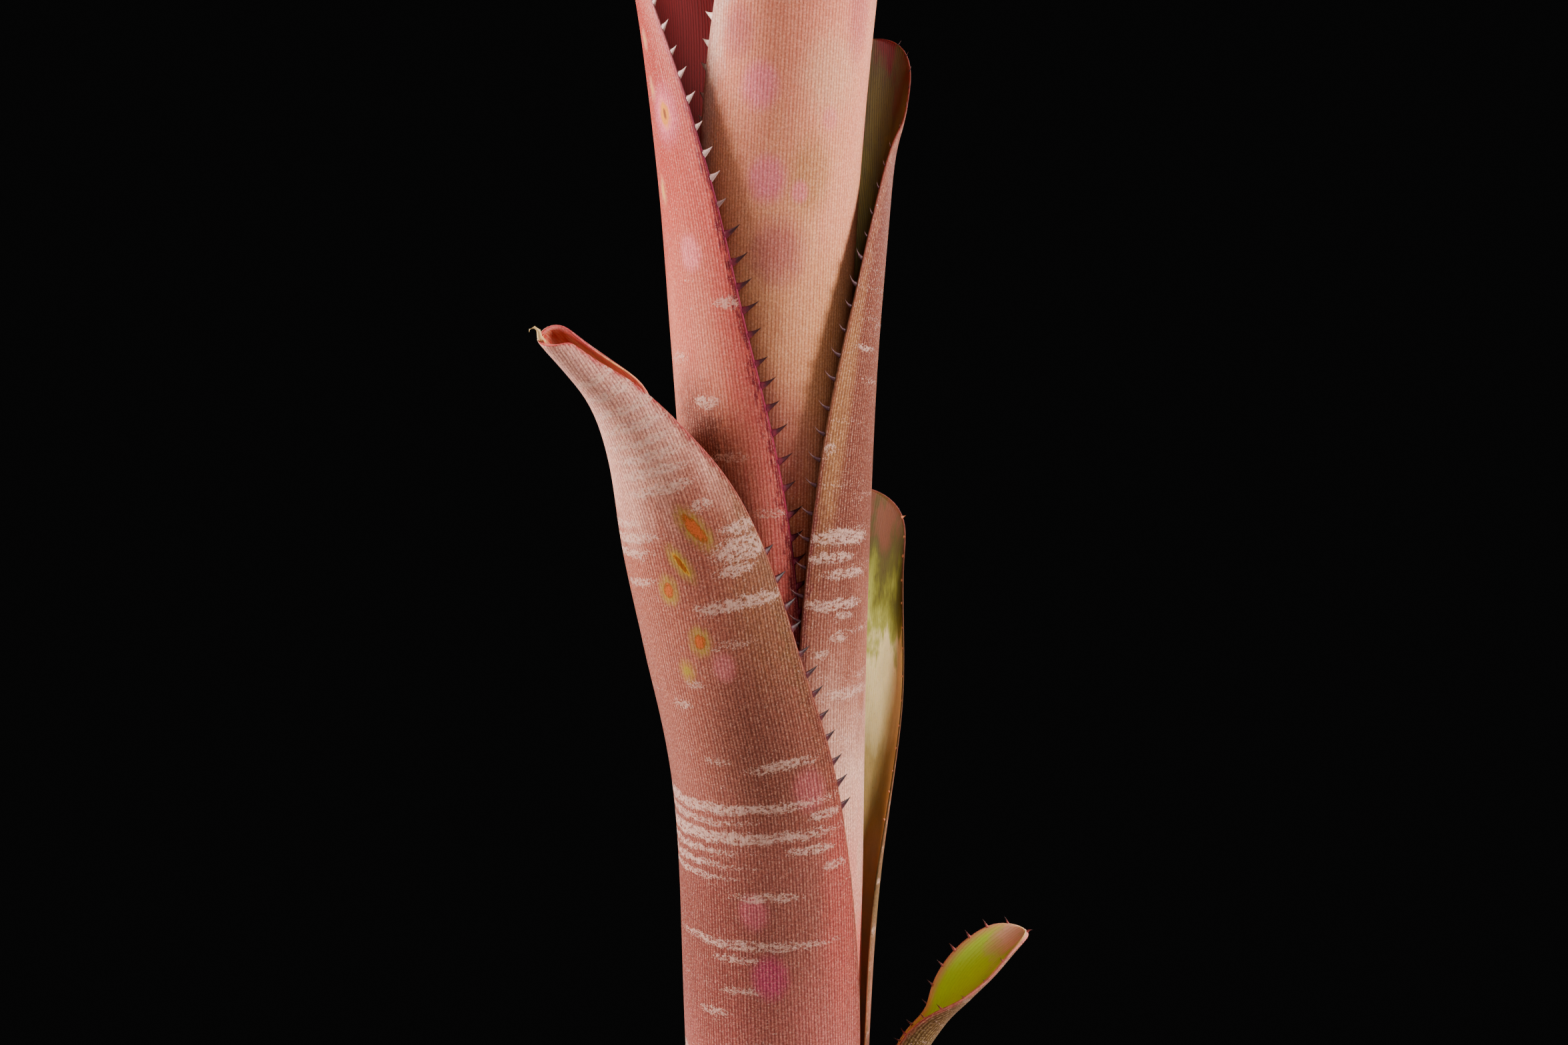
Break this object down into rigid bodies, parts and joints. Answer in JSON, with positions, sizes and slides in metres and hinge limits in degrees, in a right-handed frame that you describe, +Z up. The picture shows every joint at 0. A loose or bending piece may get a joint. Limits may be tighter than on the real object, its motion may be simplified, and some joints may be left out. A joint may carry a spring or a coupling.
{
  "type": "potted tubular bromeliad",
  "caption": "Upright bromeliad whose spiny-edged, strap-shaped leaves roll round one another into a narrow tube with flaring tips, standing in bark mix in a plain round clay pot.",
  "frame": {"origin": "centre of the pot's base, on the surface it stands on", "axes": "+Z up along the tube of leaves, -Y towards the viewer of the picture, +X to that viewer's right"},
  "size_m": [0.115, 0.115, 0.3621],
  "materials": {
    "clay": "matt, slightly rough fired clay",
    "bark_mix": "rough, damp bark and fibre",
    "stock_tissue": "matt, fibrous",
    "inner_leaf": "satin, finely ribbed",
    "peach_leaf": "satin, finely ribbed, with pink spots",
    "salmon_leaf": "satin, finely ribbed, with a magenta margin",
    "tan_leaf": "satin, finely ribbed, with bands of white scurf",
    "mauve_leaf": "satin, finely ribbed, with bands of white scurf and orange-brown marks",
    "olive_leaf": "satin, finely ribbed",
    "lime_leaf": "satin, finely ribbed",
    "basal_leaf": "satin, finely ribbed"
  },
  "bodies": {
    "root": {"pot": "clay", "potting_mix": "bark_mix", "stock": "stock_tissue", "heart_leaf": "inner_leaf", "young_leaf": "inner_leaf", "front_right_leaf": "peach_leaf", "left_leaf": "salmon_leaf", "right_leaf": "tan_leaf", "front_left_leaf": "mauve_leaf", "back_right_leaf": "olive_leaf", "low_right_leaf": "lime_leaf", "basal_left_leaf": "basal_leaf", "basal_front_leaf": "basal_leaf", "basal_back_leaf": "basal_leaf"}
  },
  "joints": []
}
